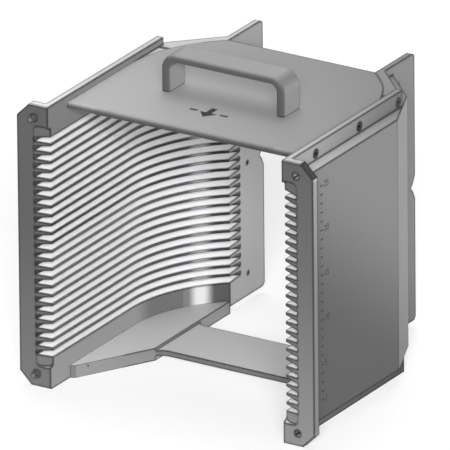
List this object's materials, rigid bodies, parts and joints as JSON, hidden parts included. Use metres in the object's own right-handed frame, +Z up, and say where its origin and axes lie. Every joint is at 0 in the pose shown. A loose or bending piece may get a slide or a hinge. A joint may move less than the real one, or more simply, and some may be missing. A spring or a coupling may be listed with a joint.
{
  "type": "wafer cassette",
  "caption": "Open wafer cassette: two slotted side walls joined by a top plate with a lifting handle and by an H-shaped base, holding round wafers flat above one another.",
  "frame": {"origin": "on the bench under the middle of the cassette's box, pins and wings included", "axes": "+Z up; the loading side faces -Y; +X towards the wall with the pin holes"},
  "size_m": [0.2288, 0.2216, 0.224],
  "materials": {
    "cassette_aluminium": "machined and satin",
    "handle_aluminium": "fine satin",
    "screw_steel": "turned",
    "pin_steel": "ground"
  },
  "bodies": {
    "root": {"h_bar_base": "cassette_aluminium", "handle": "handle_aluminium", "handle_screw_1": "screw_steel", "handle_screw_2": "screw_steel", "handle_screw_3": "screw_steel", "handle_screw_4": "screw_steel", "left_lower_front_screw": "screw_steel", "left_lower_middle_screw": "screw_steel", "left_lower_rear_screw": "screw_steel", "left_side_wall": "cassette_aluminium", "left_upper_front_screw": "screw_steel", "left_upper_middle_screw": "screw_steel", "left_upper_rear_screw": "screw_steel", "lower_locating_pin": "pin_steel", "right_lower_front_screw": "screw_steel", "right_lower_middle_screw": "screw_steel", "right_lower_rear_screw": "screw_steel", "right_side_wall": "cassette_aluminium", "right_upper_front_screw": "screw_steel", "right_upper_middle_screw": "screw_steel", "right_upper_rear_screw": "screw_steel", "top_plate": "cassette_aluminium", "upper_locating_pin": "pin_steel"}
  },
  "joints": []
}
